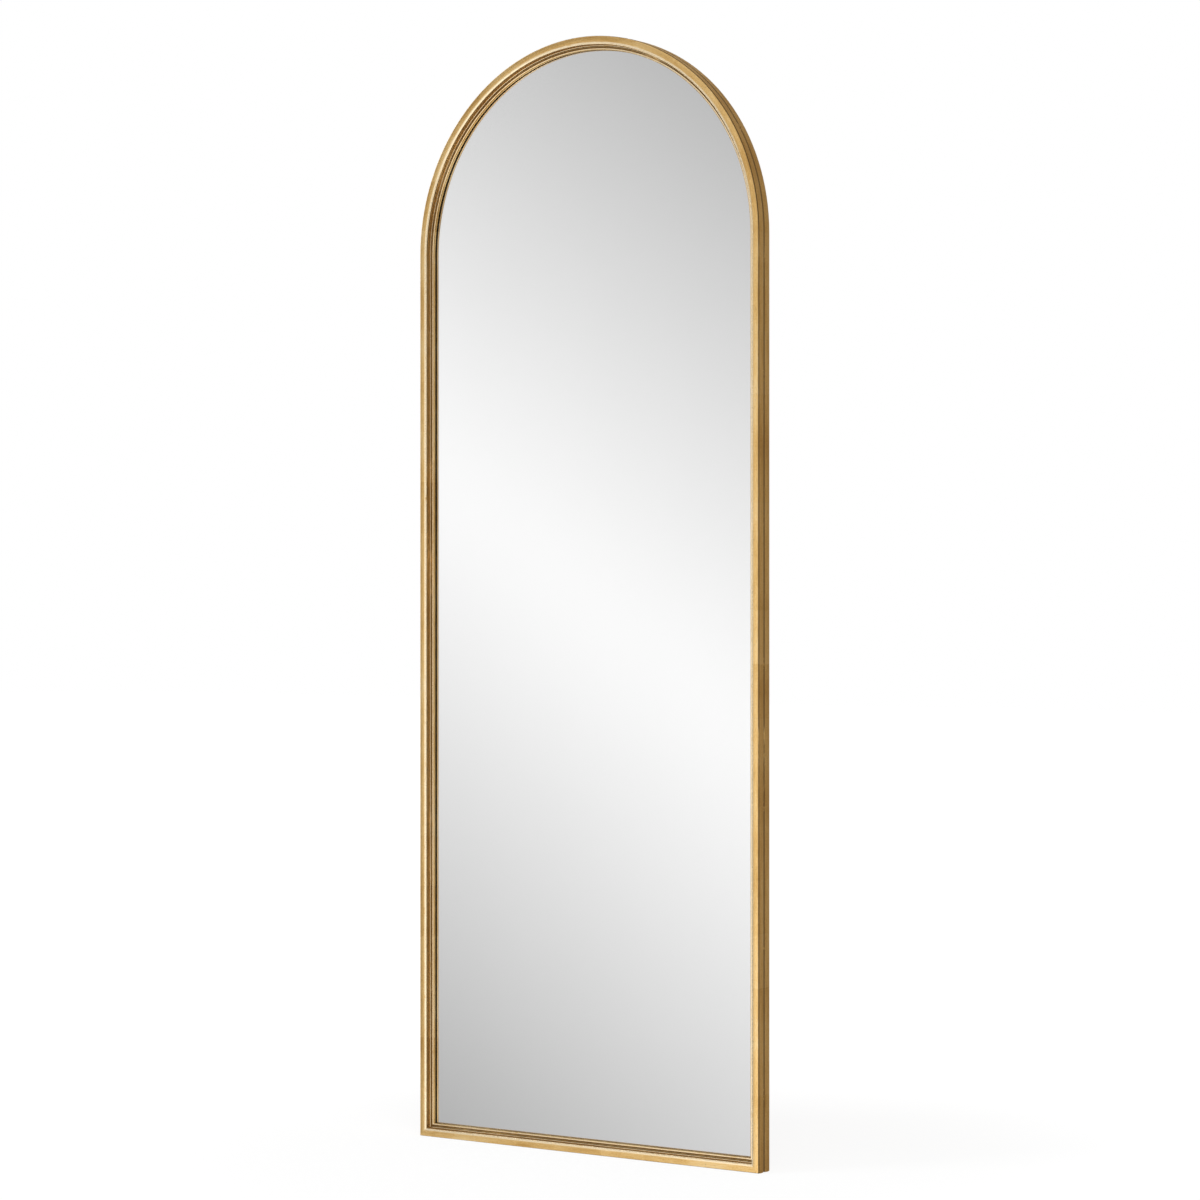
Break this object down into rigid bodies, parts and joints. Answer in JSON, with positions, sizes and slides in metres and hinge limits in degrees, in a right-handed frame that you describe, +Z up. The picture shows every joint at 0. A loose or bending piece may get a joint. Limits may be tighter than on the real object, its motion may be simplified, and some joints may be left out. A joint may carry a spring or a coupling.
{
  "type": "leaning floor mirror",
  "caption": "Full-height arched mirror in a slim gilded steel frame of two stacked tube rings, with a beaded sight bar, clipped back board and swinging ring hangers.",
  "frame": {"origin": "middle of the footprint on the floor, under the bottom rail, halfway between the front face and the backs of the wall bumpers", "axes": "+X to the right as the mirror is looked at, +Y from the glass towards the wall, +Z up; the front faces -Y"},
  "size_m": [0.66, 0.036, 1.7779],
  "materials": {
    "gilded_steel": "antiqued gold leaf over a brown ground, satin, rubbed along the edges",
    "gilded_bead": "antiqued gold leaf, satin, dark glaze left in the groove",
    "gilded_weld": "weld dressed and leafed over, darker glaze",
    "silvered_glass": "clear float glass, silvered behind, polished",
    "seal_tape": "black closed-cell tape, matte",
    "foam_tape": "white foam tape, matte",
    "packing_rubber": "black rubber, matte",
    "bumper_rubber": "black rubber, satin",
    "board": "bare fibreboard, matte",
    "plated_steel": "zinc plated sheet, satin",
    "screw_steel": "zinc plated, satin",
    "rivet_steel": "plain steel, satin",
    "strap_steel": "zinc plated strip, satin",
    "ring_steel": "nickel plated wire, bright"
  },
  "bodies": {
    "frame": {"arch_sight_bar": "gilded_bead", "backing_board": "board", "board_clips": "plated_steel", "bottom_sight_bar": "gilded_bead", "clip_screws": "screw_steel", "front_arch": "gilded_steel", "front_bottom_rail": "gilded_steel", "front_left_stile": "gilded_steel", "front_right_stile": "gilded_steel", "hanger_rivets": "rivet_steel", "left_hanger_plate": "plated_steel", "left_ring_strap": "strap_steel", "left_sight_bar": "gilded_bead", "mirror_glass": "silvered_glass", "mounting_tape": "foam_tape", "rear_arch": "gilded_steel", "rear_bottom_rail": "gilded_steel", "rear_left_stile": "gilded_steel", "rear_right_stile": "gilded_steel", "rebate_tape": "seal_tape", "right_hanger_plate": "plated_steel", "right_ring_strap": "strap_steel", "right_sight_bar": "gilded_bead", "setting_blocks": "packing_rubber", "side_packers": "packing_rubber", "stitch_welds": "gilded_weld", "wall_bumpers": "bumper_rubber"},
    "left_ring": {"left_d_ring": "ring_steel"},
    "right_ring": {"right_d_ring": "ring_steel"}
  },
  "joints": [
    {"name": "left_ring_swing", "type": "hinge", "parent": "frame", "child": "left_ring", "pos_m": [-0.2885, 0.0138, 1.33], "axis": [1, 0, 0], "range_deg": [0, 180]},
    {"name": "right_ring_swing", "type": "hinge", "parent": "frame", "child": "right_ring", "pos_m": [0.2885, 0.0138, 1.33], "axis": [1, 0, 0], "range_deg": [0, 180]}
  ]
}
